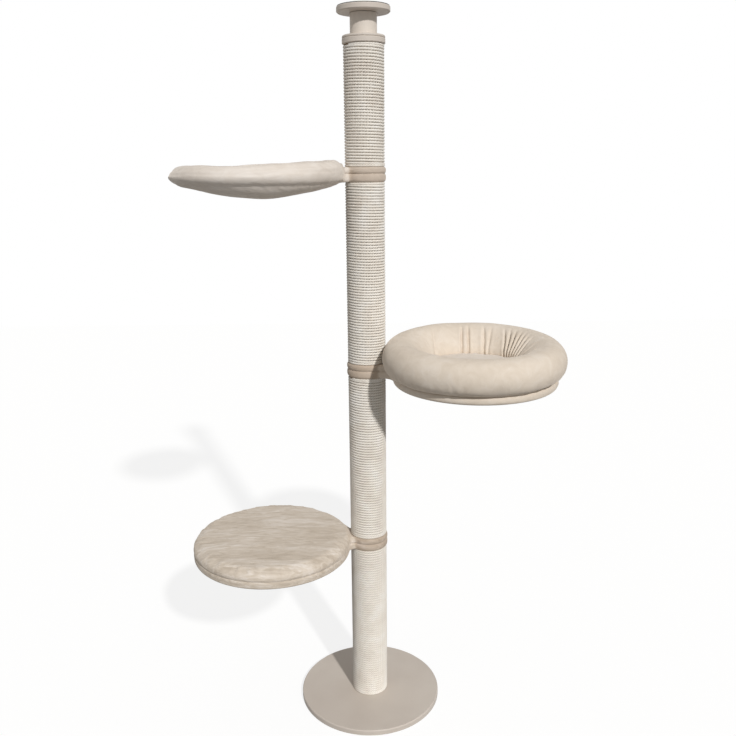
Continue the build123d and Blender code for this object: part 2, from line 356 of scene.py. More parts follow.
def shadeBy(tree, colour, factor, low, high):
    # the colour times a grey that runs from low to high with the factor
    return mixNode(tree, 1.0, colour, rangeNode(tree, factor, low, high), "MULTIPLY")


def bumpNode(tree, height, strength, distance, below=None):
    inputs = {"Height": height, "Strength": strength, "Distance": distance}
    if below is not None:
        inputs["Normal"] = below
    return addNode(tree, "ShaderNodeBump", inputs).outputs["Normal"]


def plushMaterial(name, look):
    # short velour pile: brushed patches, small crushed marks and the pile itself
    material, tree, shader = newMaterial(
        name,
        {
            "Roughness": 0.92, "Specular IOR Level": 0.15,
            "Sheen Weight": look["sheen"], "Sheen Roughness": 0.45, "Sheen Tint": tone("f2e8dc"),
        },
    )
    place = addNode(tree, "ShaderNodeTexCoord").outputs["Object"]
    brushed = addNode(
        tree, "ShaderNodeMapping", {"Vector": place, "Rotation": look["turn"], "Scale": look["stretch"]}
    ).outputs["Vector"]
    broad = noiseNode(tree, brushed, look["broad"], 3.0, 0.55, 0.5)
    crushed = noiseNode(tree, brushed, look["crushed"], 4.0, 0.6, 1.3)
    broadPart = mathNode(tree, "MULTIPLY", broad, 0.45)
    marks = mathNode(tree, "ADD", broadPart, mathNode(tree, "MULTIPLY", crushed, 0.55))
    colour = rampNode(tree, marks, look["tones"])
    pile = noiseNode(tree, place, 1300.0, 2.0, 0.6)
    colour = shadeBy(tree, colour, pile, 0.93, 1.05)
    # the band round the post is a little darker, partly its own smoother webbing and partly painted shade where it
    # meets the post
    flat = addNode(tree, "ShaderNodeVectorMath", {0: place, 1: (1, 1, 0)}, operation="MULTIPLY").outputs["Vector"]
    away = addNode(tree, "ShaderNodeVectorMath", {0: flat}, operation="LENGTH").outputs["Value"]
    near, far = look["bandWebAndShadeEdge"]
    bandWebAndShade = addNode(
        tree, "ShaderNodeMapRange", {"Value": away, "From Min": near, "From Max": far, "To Min": 1.0, "To Max": 0.0}
    ).outputs["Result"]
    colour = mixNode(tree, bandWebAndShade, colour, tone(look["bandWebAndShade"]), "MULTIPLY")
    tree.links.new(colour, shader.inputs["Base Color"])
    soft = bumpNode(tree, crushed, look["relief"], 0.004)
    fine = bumpNode(tree, pile, 0.35, 0.0008, soft)
    tree.links.new(fine, shader.inputs["Normal"])
    return material


def ropeMaterial(name, look):
    # twisted strands: pale on their crowns, darker between, with fibres along each strand
    material, tree, shader = newMaterial(
        name, {"Roughness": 0.86, "Sheen Weight": 0.2, "Sheen Roughness": 0.5, "Specular IOR Level": 0.2}
    )
    along = addNode(tree, "ShaderNodeAttribute", attribute_name="ropeAlong").outputs["Fac"]
    across = addNode(tree, "ShaderNodeAttribute", attribute_name="ropeRound").outputs["Fac"]
    groove = addNode(tree, "ShaderNodeAttribute", attribute_name="ropeGroove").outputs["Fac"]
    place = addNode(tree, "ShaderNodeTexCoord").outputs["Object"]
    drawn = mathNode(tree, "MULTIPLY", along, look["fibreLength"])
    strand = addNode(tree, "ShaderNodeCombineXYZ", {"X": drawn, "Y": across}).outputs["Vector"]
    fibre = noiseNode(tree, strand, look["fibre"], 3.0, 0.65, 0.3)
    stain = noiseNode(tree, place, 14.0, 3.0, 0.6, 0.4)
    colour = rampNode(tree, stain, look["tones"])
    colour = shadeBy(tree, colour, fibre, 0.9, 1.06)
    colour = shadeBy(tree, colour, groove, 1.0, look["grooveShade"])
    tree.links.new(colour, shader.inputs["Base Color"])
    tree.links.new(bumpNode(tree, fibre, 0.55, 0.0009), shader.inputs["Normal"])
    return material


def lacquerMaterial(name, look):
    # matte lacquer on board: a faint cloud in the colour and a very fine orange peel
    material, tree, shader = newMaterial(name, {"Specular IOR Level": 0.4})
    place = addNode(tree, "ShaderNodeTexCoord").outputs["Object"]
    cloud = noiseNode(tree, place, 7.0, 3.0, 0.55)
    speck = noiseNode(tree, place, 420.0, 2.0, 0.6)
    colour = rampNode(tree, cloud, look["tones"])
    colour = shadeBy(tree, colour, speck, 0.97, 1.03)
    tree.links.new(colour, shader.inputs["Base Color"])
    tree.links.new(rangeNode(tree, cloud, 0.5, 0.62), shader.inputs["Roughness"])
    tree.links.new(bumpNode(tree, speck, 0.12, 0.0004), shader.inputs["Normal"])
    return material


def woodMaterial(name, look):
    # sanded birch plywood, or card: long fine figure along one way
    material, tree, shader = newMaterial(name, {"Roughness": 0.7, "Specular IOR Level": 0.3})
    place = addNode(tree, "ShaderNodeTexCoord").outputs["Object"]
    drawn = addNode(tree, "ShaderNodeMapping", {"Vector": place, "Scale": look["stretch"]}).outputs["Vector"]
    figure = noiseNode(tree, drawn, look["scale"], 5.0, 0.6, 0.8)
    colour = rampNode(tree, figure, look["tones"])
    tree.links.new(colour, shader.inputs["Base Color"])
    tree.links.new(bumpNode(tree, figure, 0.2, 0.0006), shader.inputs["Normal"])
    return material


def metalMaterial(name, look):
    # bright zinc plate with a slightly uneven sheen
    material, tree, shader = newMaterial(name, {"Metallic": 1.0})
    place = addNode(tree, "ShaderNodeTexCoord").outputs["Object"]
    cloud = noiseNode(tree, place, 90.0, 3.0, 0.6)
    tree.links.new(rampNode(tree, cloud, look["tones"]), shader.inputs["Base Color"])
    tree.links.new(rangeNode(tree, cloud, 0.28, 0.45), shader.inputs["Roughness"])
    return material


# the tones are places on a colour ramp and their colours, and the band's edge, where its darker webbing and painted
# shade by the post fade out, is in metres from the post's middle
finishes = {
    "plushPlatform": {
        "sheen": 0.35, "turn": (0, 0, 0.1), "stretch": (0.36, 1.7, 1.7), "broad": 10.0, "crushed": 38.0,
        "relief": 0.45, "bandWebAndShade": "e8e2dd", "bandWebAndShadeEdge": (0.0665, 0.07),
        "tones": [(0.36, "bcae9d"), (0.5, "d0c3b3"), (0.64, "e3d9ce")],
    },
    "plushBed": {
        "sheen": 0.4, "turn": (0, 0, 0.4), "stretch": (1.0, 1.0, 0.8), "broad": 6.0, "crushed": 26.0,
        "relief": 0.25, "bandWebAndShade": "dcd5cf", "bandWebAndShadeEdge": (0.0665, 0.07),
        "tones": [(0.3, "d2c4b3"), (0.5, "dbcebe"), (0.7, "e3d8cb")],
    },
    "plushHammock": {
        "sheen": 0.4, "turn": (0, 0, 0.0), "stretch": (0.6, 1.0, 1.6), "broad": 7.0, "crushed": 30.0,
        "relief": 0.3, "bandWebAndShade": "e6dfd8", "bandWebAndShadeEdge": (0.0665, 0.07),
        "tones": [(0.3, "d1c6ba"), (0.5, "ddd3c8"), (0.7, "e7dfd6")],
    },
    "rope": {
        "fibre": 55.0, "fibreLength": 1.2, "grooveShade": 0.8,
        "tones": [(0.3, "e8dfd3"), (0.5, "f1eadf"), (0.7, "f7f2ea")],
    },
    "lacquer": {"tones": [(0.3, "c4b9ae"), (0.7, "cbc1b6")]},
    "neckLacquer": {"tones": [(0.3, "d3c8bc"), (0.7, "dad0c4")]},
    "card": {"stretch": (6, 6, 0.8), "scale": 9.0, "tones": [(0.3, "9a7c5a"), (0.7, "b0926d")]},
    "plywood": {"stretch": (0.6, 6, 12), "scale": 8.0, "tones": [(0.3, "c3a06d"), (0.7, "dcc094")]},
    "foam": {"stretch": (1, 1, 1), "scale": 300.0, "tones": [(0.3, "dcd8c8"), (0.7, "ece8dc")]},
    "zinc": {"tones": [(0.3, "b4b5b8"), (0.7, "cfd0d2")]},
    "gripPad": {"stretch": (1, 1, 1), "scale": 400.0, "tones": [(0.3, "2e2b29"), (0.7, "3d3a37")]},
}
materials = {
    "plushPlatform": plushMaterial("plushPlatform", finishes["plushPlatform"]),
    "plushBed": plushMaterial("plushBed", finishes["plushBed"]),
    "plushHammock": plushMaterial("plushHammock", finishes["plushHammock"]),
    "rope": ropeMaterial("rope", finishes["rope"]),
    "painted_board": lacquerMaterial("lacquer", finishes["lacquer"]),
    "card_tube": woodMaterial("card", finishes["card"]),
    "plywood": woodMaterial("plywood", finishes["plywood"]),
    "foam": woodMaterial("foam", finishes["foam"]),
    "steel": metalMaterial("zinc", finishes["zinc"]),
    "grip_pad": woodMaterial("gripPad", finishes["gripPad"]),
}
materials["plush"] = materials["plushPlatform"]
for row in frame["record"]["subparts"]:
    node = nodes[row["node"]]
    if not node.material_slots:
        node.data.materials.append(None)
    for place in node.material_slots:
        place.material = materials[row["material_slot"]]
for place in nodes["neck"].material_slots:
    place.material = lacquerMaterial("neckLacquer", finishes["neckLacquer"])
print("materials made:", len(materials))


# the rope: one helix of twisted rope on each post length
ropeSet = {
    "pitch": 8.9, "radius": 4.35, "tubeRadius": 55.0, "sunkIn": 0.6, "layLength": 27.0, "pointsPerTurn": 100,
    "profilePoints": 12, "crevice": 0.77, "lobeSharpness": 0.6, "wander": 0.5,
}


def makeRopeTree():
    tree = bpy.data.node_groups.new("ropeWinding", "GeometryNodeTree")
    for label, kind, value in (
        ("Height", "NodeSocketFloat", 0.5),
        ("Pitch", "NodeSocketFloat", 0.0089),
        ("Winding Radius", "NodeSocketFloat", 0.059),
        ("Rope Radius", "NodeSocketFloat", 0.004),
        ("Lay Length", "NodeSocketFloat", 0.027),
        ("Points Per Turn", "NodeSocketInt", 100),
        ("Profile Points", "NodeSocketInt", 12),
        ("Crevice", "NodeSocketFloat", 0.8),
        ("Lobe Sharpness", "NodeSocketFloat", 0.6),
        ("Wander", "NodeSocketFloat", 0.0005),
        ("Finish", "NodeSocketMaterial", None),
    ):
        socket = tree.interface.new_socket(name=label, in_out="INPUT", socket_type=kind)
        if value is not None:
            socket.default_value = value
    tree.interface.new_socket(name="Geometry", in_out="OUTPUT", socket_type="NodeSocketGeometry")
    given = tree.nodes.new("NodeGroupInput").outputs
    turns = mathNode(tree, "ADD", mathNode(tree, "DIVIDE", given["Height"], given["Pitch"]), 1.0)
    spiral = addNode(
        tree,
        "GeometryNodeCurveSpiral",
        {
            "Resolution": given["Points Per Turn"], "Rotations": turns,
            "Height": mathNode(tree, "ADD", given["Height"], given["Pitch"]),
            "Start Radius": given["Winding Radius"], "End Radius": given["Winding Radius"],
        },
    ).outputs["Curve"]
    place = addNode(tree, "GeometryNodeInputPosition").outputs["Position"]
    drift = addNode(tree, "ShaderNodeTexNoise", {"Vector": place, "Scale": 22.0, "Detail": 1.0}).outputs["Fac"]
    drift = mathNode(tree, "MULTIPLY", mathNode(tree, "SUBTRACT", drift, 0.5), given["Wander"])
    # the first and last half turns lie flat against the discs, so no gap opens beside them
    part = addNode(tree, "ShaderNodeSeparateXYZ", {"Vector": place}).outputs
    level = mathNode(tree, "SUBTRACT", part["Z"], mathNode(tree, "MULTIPLY", given["Pitch"], 0.5))
    level = mathNode(tree, "MAXIMUM", mathNode(tree, "ADD", level, drift), 0.0)
    level = mathNode(tree, "MINIMUM", level, given["Height"])
    placed = addNode(tree, "ShaderNodeCombineXYZ", {"X": part["X"], "Y": part["Y"], "Z": level}).outputs["Vector"]
    spiral = addNode(tree, "GeometryNodeSetPosition", {"Geometry": spiral, "Position": placed}).outputs["Geometry"]
    length = addNode(tree, "GeometryNodeSplineParameter").outputs["Length"]
    spiral = addNode(
        tree,
        "GeometryNodeStoreNamedAttribute",
        {"Geometry": spiral, "Name": "ropeAlong", "Value": length},
        data_type="FLOAT",
        domain="POINT",
    ).outputs["Geometry"]
    spiral = addNode(tree, "GeometryNodeSetCurveNormal", {"Curve": spiral}, mode="Z_UP").outputs["Curve"]
    turn = mathNode(tree, "MULTIPLY", mathNode(tree, "DIVIDE", length, given["Lay Length"]), -2 * math.pi)
    spiral = addNode(tree, "GeometryNodeSetCurveTilt", {"Curve": spiral, "Tilt": turn}).outputs["Curve"]

    circle = addNode(
        tree,
        "GeometryNodeCurvePrimitiveCircle",
        {"Resolution": given["Profile Points"], "Radius": given["Rope Radius"]},
        mode="RADIUS",
    ).outputs["Curve"]
    index = addNode(tree, "GeometryNodeInputIndex").outputs["Index"]
    share = mathNode(tree, "DIVIDE", mathNode(tree, "ADD", index, 2.0), given["Profile Points"])
    lobe = mathNode(tree, "ABSOLUTE", mathNode(tree, "COSINE", mathNode(tree, "MULTIPLY", share, 3 * math.pi)))
    lobe = mathNode(tree, "POWER", lobe, given["Lobe Sharpness"])
    depth = mathNode(tree, "SUBTRACT", 1.0, given["Crevice"])
    size = mathNode(tree, "ADD", given["Crevice"], mathNode(tree, "MULTIPLY", lobe, depth))
    shaped = addNode(
        tree, "ShaderNodeVectorMath", {0: place, "Scale": size}, operation="SCALE"
    ).outputs["Vector"]
    circle = addNode(tree, "GeometryNodeSetPosition", {"Geometry": circle, "Position": shaped}).outputs["Geometry"]
    for label, value in (("ropeRound", share), ("ropeGroove", mathNode(tree, "SUBTRACT", 1.0, lobe))):
        circle = addNode(
            tree,
            "GeometryNodeStoreNamedAttribute",
            {"Geometry": circle, "Name": label, "Value": value},
            data_type="FLOAT",
            domain="POINT",
        ).outputs["Geometry"]
    wound = addNode(
        tree, "GeometryNodeCurveToMesh", {"Curve": spiral, "Profile Curve": circle, "Fill Caps": True}
    ).outputs["Mesh"]
    wound = addNode(tree, "GeometryNodeRealizeInstances", {"Geometry": wound}).outputs["Geometry"]
    wound = addNode(
        tree, "GeometryNodeSetMaterial", {"Geometry": wound, "Material": given["Finish"]}
    ).outputs["Geometry"]
    end = tree.nodes.new("NodeGroupOutput")
    tree.links.new(wound, end.inputs["Geometry"])
    return tree


def treeResult(name, tree, values):
    # the plain mesh that a node tree gives for these values of its named inputs
    maker = bpy.data.objects.new(name + "Maker", bpy.data.meshes.new(name + "Maker"))
    bpy.context.scene.collection.objects.link(maker)
    modifier = maker.modifiers.new("build", "NODES")
    modifier.node_group = tree
    for item in tree.interface.items_tree:
        if item.item_type == "SOCKET" and item.in_out == "INPUT" and item.name in values:
            modifier[item.identifier] = values[item.name]
    bpy.context.view_layer.update()
    graph = bpy.context.evaluated_depsgraph_get()
    ready = maker.evaluated_get(graph)
    mesh = bpy.data.meshes.new_from_object(ready, preserve_all_data_layers=True, depsgraph=graph)
    bpy.data.objects.remove(maker)
    mesh.name = name
    return mesh


ropeTree = makeRopeTree()
for label in ("lower", "middle", "upper", "top"):
    low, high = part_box(f"{label}_rope")
    room = (high.z - low.z) * 1000 - 2 * ropeSet["radius"]
    mesh = treeResult(
        f"{label}Winding",
        ropeTree,
        {
            "Height": room / 1000,
            "Pitch": ropeSet["pitch"] / 1000,
            "Winding Radius": (ropeSet["tubeRadius"] + ropeSet["radius"] - ropeSet["sunkIn"]) / 1000,
            "Rope Radius": ropeSet["radius"] / 1000,
            "Lay Length": ropeSet["layLength"] / 1000,
            "Points Per Turn": ropeSet["pointsPerTurn"],
            "Profile Points": ropeSet["profilePoints"],
            "Crevice": ropeSet["crevice"],
            "Lobe Sharpness": ropeSet["lobeSharpness"],
            "Wander": ropeSet["wander"] / 1000,
            "Finish": materials["rope"],
        },
    )
    mesh.polygons.foreach_set("use_smooth", [True] * len(mesh.polygons))
    piece = addPiece(f"{label}Winding", mesh, "post", 0, low.z * 1000 + ropeSet["radius"])
    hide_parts(f"{label}_rope")
    print(label, "winding:", round(room / ropeSet["pitch"] + 1, 1), "turns,", len(mesh.polygons), "faces")


# the plush covers: a disc, its neck and its eye in one skin, seamed round its edge
coverSet = {
    "eye": 66.0, "eyeHeight": 46.0, "seam": 25.8, "ridgeDepth": 5.5, "grooveDepth": 4.0, "spacing": 3.2,
    "clearance": 64.4,
}


def clearOfPost(points, low=-1.0, high=coverSet["eyeHeight"] + 0.5):
    # fabric beside the post, above and below its own eye, stays off the rope
    away = np.hypot(points[:, 0], points[:, 1])
    close = (away < coverSet["clearance"]) & ((points[:, 2] < low) | (points[:, 2] > high))
    points[close, :2] *= (coverSet["clearance"] / np.maximum(away[close], 1))[:, None]
    return points


def ridge(low, high, lowDepth, highDepth, count):
    # one rounded ridge of the band: how far in, and how high, from its low edge to its high one
    share = np.linspace(-1, 1, count)
    share = np.sign(share) * np.abs(share) ** 0.8
    depth = np.where(share < 0, lowDepth, highDepth) * np.abs(share) ** 3.2
    return np.stack([depth, low + (high - low) * (share + 1) / 2], 1)


def onNeck(x, span):
    # 1 on the eye and its neck, 0 on the disc
    return 1 - smoothStep(x, *span)


def coverRings(place, lowerDisc, upperDisc, flatRings=0):
    # the side of a cover: on the disc it follows the disc's section, on the neck the band's two ridges
    s = coverSet
    span = place["span"]
    outline, inward = racketOutline(place["reach"], place["radius"], s["eye"], place["flare"], s["spacing"])
    top = s["eyeHeight"]
    lowerNeck = ridge(0, s["seam"], s["ridgeDepth"], s["grooveDepth"], len(lowerDisc))
    upperNeck = ridge(s["seam"], top, s["grooveDepth"], s["ridgeDepth"], len(upperDisc) - flatRings)
    flatPart = np.stack([np.linspace(s["ridgeDepth"] + 1, 26, flatRings), np.full(flatRings, top)], 1)
    upperNeck = np.concatenate([upperNeck, flatPart])
    share = onNeck(outline[:, 0], span)
    rings = []
    for disc, neck in list(zip(lowerDisc, lowerNeck)) + list(zip(upperDisc[1:], upperNeck[1:])):
        inset = disc[0] + (neck[0] - disc[0]) * share
        flat = outline + inward * inset[:, None]
        here = onNeck(flat[:, 0], span)
        rings.append(np.column_stack([flat, disc[1] + (neck[1] - disc[1]) * here]))
    return rings


def fromCentre(points, reach, shift=0.0):
    return np.hypot(points[:, 0] - reach, points[:, 1] - shift)


def bearingFrom(points, reach, shift=0.0):
    return np.degrees(np.arctan2(points[:, 1] - shift, points[:, 0] - reach))


def finishPadded(name, mesh, body, place, finish, fill, *stoodFor):
    # a padded piece with its material, body, slot and the solids that it stands for
    mesh.materials.append(materials[finish])
    piece = addPiece(name, mesh, body, place["azimuth"], place["level"])
    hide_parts(*stoodFor)
    print(name, "made:", len(mesh.polygons), "faces")


# reach and radius place the disc, flare rounds its corners with the neck, and over span the neck turns into it
# a section runs from its low end up, as how far in from the edge and how high
platformSet = {
    "azimuth": -172.2, "reach": 337.5, "radius": 270.0, "flare": 16.0, "span": (58, 82), "rim": 60.0, "dome": 5.0,
    "roundIn": 26.0, "side": [(2, 9), (1.4, 16), (2, 22), (4.5, coverSet["seam"])], "wide": 34.8,
    "swell": 3.0, "heldTo": 110.0, "gather": 1.2, "farGather": 1.3, "streak": 0.45, "soft": 1.1, "uneven": 0.5,
}
platformSet["level"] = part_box("lower_rope")[1].z * 1000


def makePlatform():
    s = platformSet
    seam, side = coverSet["seam"], s["side"]
    lower = np.concatenate([arcLine((11, 0), side[0], -3.7, 6)[:-1], smoothLine(side, 7)])
    upper = np.concatenate([
        arcLine(side[-1], (0, s["wide"]), -1.5, 5)[:-1],
        arcLine((0, s["wide"]), (s["roundIn"], s["rim"]), -7, 12),
    ])
    rings = coverRings(s, lower, upper)

    def top(points):
        disc = s["rim"] + domeHeight(fromCentre(points, s["reach"]), s["radius"] - s["roundIn"], s["dome"])
        return disc + (coverSet["eyeHeight"] - disc) * onNeck(points[:, 0], s["span"])

    points, faces = coveredShape(rings, lambda p: np.zeros(len(p)), top, 9.0, 4.0)
    mesh = makeMesh("platformCover", points, faces)
    points = meshPoints(mesh)
    swell(mesh, (points[:, 2] < seam + 2) | (points[:, 0] < s["heldTo"]), s["swell"])
    points = meshPoints(mesh)
    away = fromCentre(points, s["reach"])
    bearing = bearingFrom(points, s["reach"])
    # above the seam the panel is uneven, with streaks along the nap and short gathers round its rim
    upperSide = smoothStep(points[:, 2], 26, 40)
    rim = np.exp(-(((away - 250) / 17) ** 2)) * upperSide
    far = s["gather"] + s["farGather"] * np.exp(-((bearing / 55) ** 2))
    gathers = latticeNoise(np.stack([bearing * 4.5, away * 0.06, 0 * away], 1), 13, 3)
    push = upperSide * (s["soft"] * latticeNoise(points, 70, 5) + s["uneven"] * latticeNoise(points, 24, 7))
    push += upperSide * s["streak"] * latticeNoise(points * [0.3, 1, 1], 12, 8)
    push += far * gathers * rim
    push *= smoothStep(points[:, 0], 75, 120)
    points = clearOfPost(points + meshNormals(mesh) * push[:, None])
    setPoints(mesh, points)
    finishPadded(
        "platformCover", mesh, "platform", s, "plushPlatform", 0.7,
        "platform_cover_top", "platform_cover_base", "platform_foam",
    )


makePlatform()

# the strip under the bolster, which carries the bed's eye
bedSet = {
    "azimuth": -16.0, "reach": 361.0, "radius": 263.0, "flare": 42.0, "span": (88, 112), "sag": 3.5, "seamWave": 1.8,
    "side": [(0, 8), (0, 14), (2.5, 20.5), (9, coverSet["seam"])], "soft": 1.2, "uneven": 0.6,
}
bedSet["level"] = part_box("middle_rope")[1].z * 1000


def seamWave(points):
    # the seam between the bed's strip and its bolster wanders up and down, and both pieces with it
    flat = points * [1, 1, 0]
    near = np.exp(-(((points[:, 2] - coverSet["seam"]) / 14) ** 2))
    outside = smoothStep(fromCentre(points, bedSet["reach"]), 222, 245) * smoothStep(points[:, 0], 110, 160)
    return bedSet["seamWave"] * latticeNoise(flat, 75, 41) * near * outside


def makeBedCover():
    s = bedSet
    seam, side = coverSet["seam"], s["side"]
    lower = np.concatenate([arcLine((12, -s["sag"]), side[0], -3.6, 7)[:-1], smoothLine(side, 8)])
    upper = np.stack([np.linspace(side[-1][0], 45, 12), np.full(12, seam)], 1)
    rings = coverRings(s, lower, upper)
    points, faces = coveredShape(
        rings,
        lambda p: -s["sag"] * (1 - onNeck(p[:, 0], s["span"])),
        lambda p: seam + (coverSet["eyeHeight"] - seam) * onNeck(p[:, 0], s["span"]),
        9.0,
        8.0,
    )
    mesh = makeMesh("bedCover", points, faces)
    points = meshPoints(mesh)
    strip = smoothStep(points[:, 2], 1, 8) * (1 - smoothStep(points[:, 2], 19, 25))
    strip = strip * smoothStep(points[:, 0], 90, 130)
    push = strip * (s["soft"] * latticeNoise(points, 34, 11) + s["uneven"] * latticeNoise(points, 13, 12))
    wave = seamWave(points)
    points = points + meshNormals(mesh) * push[:, None]
    points[:, 2] += wave
    setPoints(mesh, points)
    finishPadded("bedCover", mesh, "bed", s, "plushBed", 0.8, "bed_cover_top", "bed_cover_base")


makeBedCover()

# the section runs once round, from the seam outwards, as distance from the bolster's middle and height
bolsterSet = {
    "around": 480, "along": 92, "reach": 357.0, "shift": -10.0, "crown": 143.4,
    # the crown stands higher at the back than at the front: its mean, its tilt and the bearing of its high side
    "mean": -3.5, "tilt": 7.5, "highSide": 106.0, "swell": 3.0,
    "foldLip": 0.22, "pucker": 1.3, "soft": 1.8, "uneven": 0.9,
    "section": [
        (258, 25.8), (281, 43), (292.5, 80), (285, 112), (265, 135), (238, 143.4), (210, 137), (184, 120),
        (159, 97), (142, 77), (138, 60), (150, 42), (172, 30), (196, 25.8),
    ],
    # each fold: bearing low on the wall, bearing at the crown, width, depth
    "folds": [
        (168, 136, 7.0, 4.0), (116, 109.5, 3.6, 7.5), (105.5, 104, 3.4, 7.5), (83, 90, 4.2, 6.0), (77, 82, 3.4, 3.0),
        (48, 71, 3.4, 6.5), (43, 64, 3.2, 7.0), (38, 57.5, 3.2, 7.0), (33, 51, 3.2, 7.0), (28, 45, 3.2, 6.5),
        (22.5, 39, 3.2, 6.0), (16, 32, 3.6, 5.5), (6, 16, 5.0, 3.0),
        (-150, -150, 8.0, 2.5), (-100, -100, 8.0, 2.0), (-50, -46, 6.0, 3.0), (-20, -16, 6.0, 3.0),
    ],
}


def makeBolster():
    s = bolsterSet
    seam = coverSet["seam"]
    first, last = s["section"][0], s["section"][-1]
    foot = arcLine(last, first, 0, 14)
    section = np.concatenate([foot[:-1], smoothLine(s["section"], s["along"])[:-1]])
    count, around = len(section), s["around"]
    bearing = np.arange(around) * 2 * math.pi / around
    radius, height = section[:, 0], section[:, 1]
    lift = s["mean"] + s["tilt"] * np.cos(bearing - math.radians(s["highSide"]))
    rise = seam + (height[None, :] - seam) * (1 + lift[:, None] / (s["crown"] - seam))
    points = np.zeros((around, count, 3))
    points[:, :, 0] = s["reach"] + radius[None, :] * np.cos(bearing)[:, None]
    points[:, :, 1] = s["shift"] + radius[None, :] * np.sin(bearing)[:, None]
    points[:, :, 2] = rise
    a, b = np.arange(around), np.roll(np.arange(around), -1)
    i, j = np.arange(count), np.roll(np.arange(count), -1)
    faces = np.stack([
        (a[:, None] * count + i[None, :]).ravel(), (b[:, None] * count + i[None, :]).ravel(),
        (b[:, None] * count + j[None, :]).ravel(), (a[:, None] * count + j[None, :]).ravel(),
    ], 1)
    mesh = makeMesh("bedBolster", points.reshape(-1, 3), faces.tolist())
    swell(mesh, meshPoints(mesh)[:, 2] < seam + 1, s["swell"])
    flat = meshPoints(mesh)
    # how far down the inner wall a point is: 0 at the crown, 1 at the foot
    crown = radius[np.argmax(height)]
    inner = (radius < crown) & (height > seam + 0.1)
    fall = np.where(inner, np.clip((s["crown"] - height) / (s["crown"] - seam), 0, 1), 0)
    wall = smoothStep(fall, 0, 0.22)[None, :]
    turn = np.degrees(bearing)[:, None]
    push = np.zeros((around, count))
    for low, high, width, depth in s["folds"]:
        line = low + (high - low) * (1 - fall[None, :]) ** 1.5
        off = (turn - line + 180) % 360 - 180
        span = off * math.pi / 180 * radius[None, :]
        push -= depth * wall * np.exp(-((span / width) ** 2))
        lip = np.exp(-(((np.abs(span) - 2.4 * width) / (1.5 * width)) ** 2))
        push += s["foldLip"] * depth * wall * lip
    away = fromCentre(flat, s["reach"], s["shift"])
    free = smoothStep(flat[:, 2], 27, 45)
    # the front's fabric is drawn into the seam in short upright puckers
    low = np.exp(-(((flat[:, 2] - 44) / 16) ** 2)) * (away > 240)
    bearingAt = np.radians(bearingFrom(flat, s["reach"], s["shift"]))
    wrapped = np.stack([np.cos(bearingAt) * 300, np.sin(bearingAt) * 300, flat[:, 2] * 0.15], 1)
    pucker = latticeNoise(wrapped, 17, 21) + 0.6 * latticeNoise(wrapped, 9, 22)
    rough = s["soft"] * latticeNoise(flat, 95, 23) + s["uneven"] * latticeNoise(flat, 38, 24)
    total = push.reshape(-1) + free * rough
    total += s["pucker"] * low * pucker
    wave = seamWave(flat)
    points = flat + meshNormals(mesh) * total[:, None]
    points[:, 2] += wave
    setPoints(mesh, clearOfPost(points, -1e9, 0))
    finishPadded("bedBolster", mesh, "bed", bedSet, "plushBed", 0.8, "bed_bolster")


makeBolster()

cushionSet = {
    "radius": 168.0, "roundIn": 22.0, "foot": 26.2, "edge": 60.0, "dome": 7.0, "swell": 3.0,
    "gather": 1.8, "soft": 1.2, "uneven": 0.6,
}


def makeBedCushion():
    s = cushionSet
    reach, shift = bolsterSet["reach"], bolsterSet["shift"]
    angles = np.linspace(0, 2 * math.pi, 260, endpoint=False)
    ray = np.stack([np.cos(angles), np.sin(angles)], 1)
    middle, flatPart = np.array([reach, shift]), s["radius"] - s["roundIn"]
    side = arcLine((s["radius"] - 6, s["foot"]), (flatPart, s["edge"]), 9, 10)
    rings = [np.column_stack([middle + ray * r, np.full(len(ray), h)]) for r, h in side]
    points, faces = coveredShape(
        rings,
        lambda p: np.full(len(p), s["foot"]),
        lambda p: s["edge"] + domeHeight(fromCentre(p, reach, shift), flatPart, s["dome"]),
        12.0,
        4.0,
    )
    mesh = makeMesh("bedCushion", points, faces)
    swell(mesh, meshPoints(mesh)[:, 2] < s["foot"] + 6, s["swell"])
    points = meshPoints(mesh)
    away = fromCentre(points, reach, shift)
    bearing = bearingFrom(points, reach, shift)
    upper = smoothStep(points[:, 2], 50, 60)
    gathers = latticeNoise(np.stack([bearing * 3.2, away * 0.03, 0 * away], 1), 16, 31)
    push = s["gather"] * gathers * smoothStep(away, 50, 130)
    push += s["soft"] * latticeNoise(points, 55, 32) + s["uneven"] * latticeNoise(points, 20, 33)
    setPoints(mesh, points + meshNormals(mesh) * (push * upper)[:, None])
    finishPadded("bedCushion", mesh, "bed", bedSet, "plushHammock", 0.6, "bed_cushion")


makeBedCushion()

# the rim's upper section runs up its outside, over its top and down into the dish
hammockSet = {
    "azimuth": -168.0, "reach": 336.0, "radius": 267.0, "flare": 12.0, "span": (66, 84),
    "upper": [(0, coverSet["seam"]), (12, 46), (34, 58), (64, 40), (84, -6)],
    "upperBow": [(-4, 8), (-2.5, 8), (-6, 12), (4, 14)],
    "underIn": 17.0, "edge": 0.0, "bowl": 40.0, "bowlPower": 1.75, "sidePower": 9.0, "dish": 24.0, "endRise": 3.0,
    "crease": 2.2, "wrinkle": 1.1, "soft": 1.5, "uneven": 0.6, "topWave": 1.8,
    # how far the rim stands over its mean height, by distance from the post
    "rimLift": [(60, 5), (90, 9), (106, 10), (145, 6), (225, 3), (384, -5), (545, -3), (575, -6), (603, -10)],
}
hammockSet["level"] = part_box("upper_rope")[1].z * 1000


def rimLift(x):
    away, lift = np.array(hammockSet["rimLift"]).T
    return np.interp(x, away, lift)


def hammockLift(points):
    # the rim follows its own line of heights, and the bowl's far end rises a little
    s = hammockSet
    upper = rimLift(points[:, 0]) * smoothStep(points[:, 2], 8, 50)
    lower = s["endRise"] * smoothStep(points[:, 0], 330, 600) * (1 - smoothStep(points[:, 2], 3, 24))
    return (upper + lower) * (1 - onNeck(points[:, 0], s["span"]))


